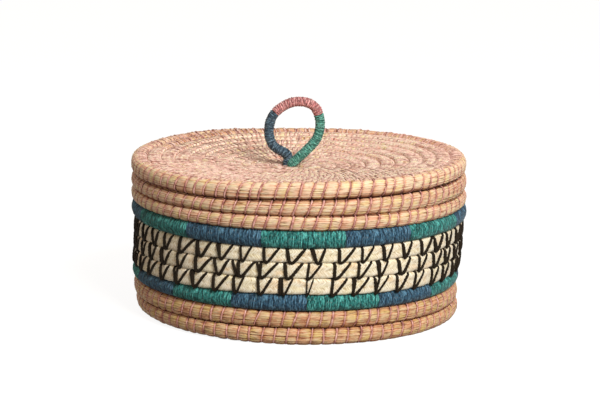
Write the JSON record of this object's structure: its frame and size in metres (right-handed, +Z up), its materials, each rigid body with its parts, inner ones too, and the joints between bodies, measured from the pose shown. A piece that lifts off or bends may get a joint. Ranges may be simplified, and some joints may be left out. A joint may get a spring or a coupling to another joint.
{
  "type": "lidded basket",
  "caption": "Round coiled grass basket with a lift-off lid and a wrapped cord loop handle, for keeping small household things.",
  "frame": {"origin": "middle of the underside, at the height the basket stands on", "axes": "+Z up, -Y towards the side the picture shows, +X to the right in the picture"},
  "size_m": [0.3, 0.3, 0.194],
  "materials": {
    "grass": "matte dried grass",
    "pale_grass": "matte dried grass",
    "cream_straw": "matte plaited straw",
    "navy_yarn": "matte dyed jute yarn",
    "teal_yarn": "matte dyed jute yarn",
    "pink_yarn": "matte dyed jute yarn",
    "black_cord": "matte twisted cord",
    "core_cord": "matte grass cord"
  },
  "bodies": {
    "basket": {"base_coil": "grass", "lower_wall_coil": "grass", "lower_band_core": "grass", "lower_band_wrap_01": "navy_yarn", "lower_band_wrap_02": "teal_yarn", "lower_band_wrap_03": "navy_yarn", "lower_band_wrap_04": "teal_yarn", "lower_band_wrap_05": "navy_yarn", "lower_band_wrap_06": "teal_yarn", "lower_band_wrap_07": "navy_yarn", "lower_band_wrap_08": "teal_yarn", "lower_band_wrap_09": "navy_yarn", "lower_band_wrap_10": "teal_yarn", "lower_band_wrap_11": "navy_yarn", "lower_band_wrap_12": "teal_yarn", "lower_band_wrap_13": "navy_yarn", "lower_band_wrap_14": "teal_yarn", "cream_coil": "cream_straw", "black_lacing_1": "black_cord", "black_lacing_2": "black_cord", "black_lacing_3": "black_cord", "upper_band_core": "grass", "upper_band_wrap_01": "teal_yarn", "upper_band_wrap_02": "navy_yarn", "upper_band_wrap_03": "teal_yarn", "upper_band_wrap_04": "navy_yarn", "upper_band_wrap_05": "teal_yarn", "upper_band_wrap_06": "navy_yarn", "upper_band_wrap_07": "teal_yarn", "upper_band_wrap_08": "navy_yarn", "upper_band_wrap_09": "teal_yarn", "upper_band_wrap_10": "navy_yarn", "upper_band_wrap_11": "teal_yarn", "upper_band_wrap_12": "navy_yarn", "upper_wall_coil": "grass"},
    "lid": {"lid_coil": "pale_grass", "lid_locating_coil": "pale_grass", "handle_anchor": "core_cord"},
    "handle": {"handle_core": "core_cord", "handle_wrap_navy": "navy_yarn", "handle_wrap_pink": "pink_yarn", "handle_wrap_green": "teal_yarn"}
  },
  "joints": [
    {"name": "lid_lift", "type": "slide", "parent": "basket", "child": "lid", "axis": [0, 0, 1], "range_m": [0, 0.15]},
    {"name": "handle_tilt", "type": "hinge", "parent": "lid", "child": "handle", "pos_m": [-0.0063, 0, 0.13509], "axis": [1, 0, 0], "range_deg": [-40, 40], "stiffness_Nm_per_rad": 0.02}
  ]
}
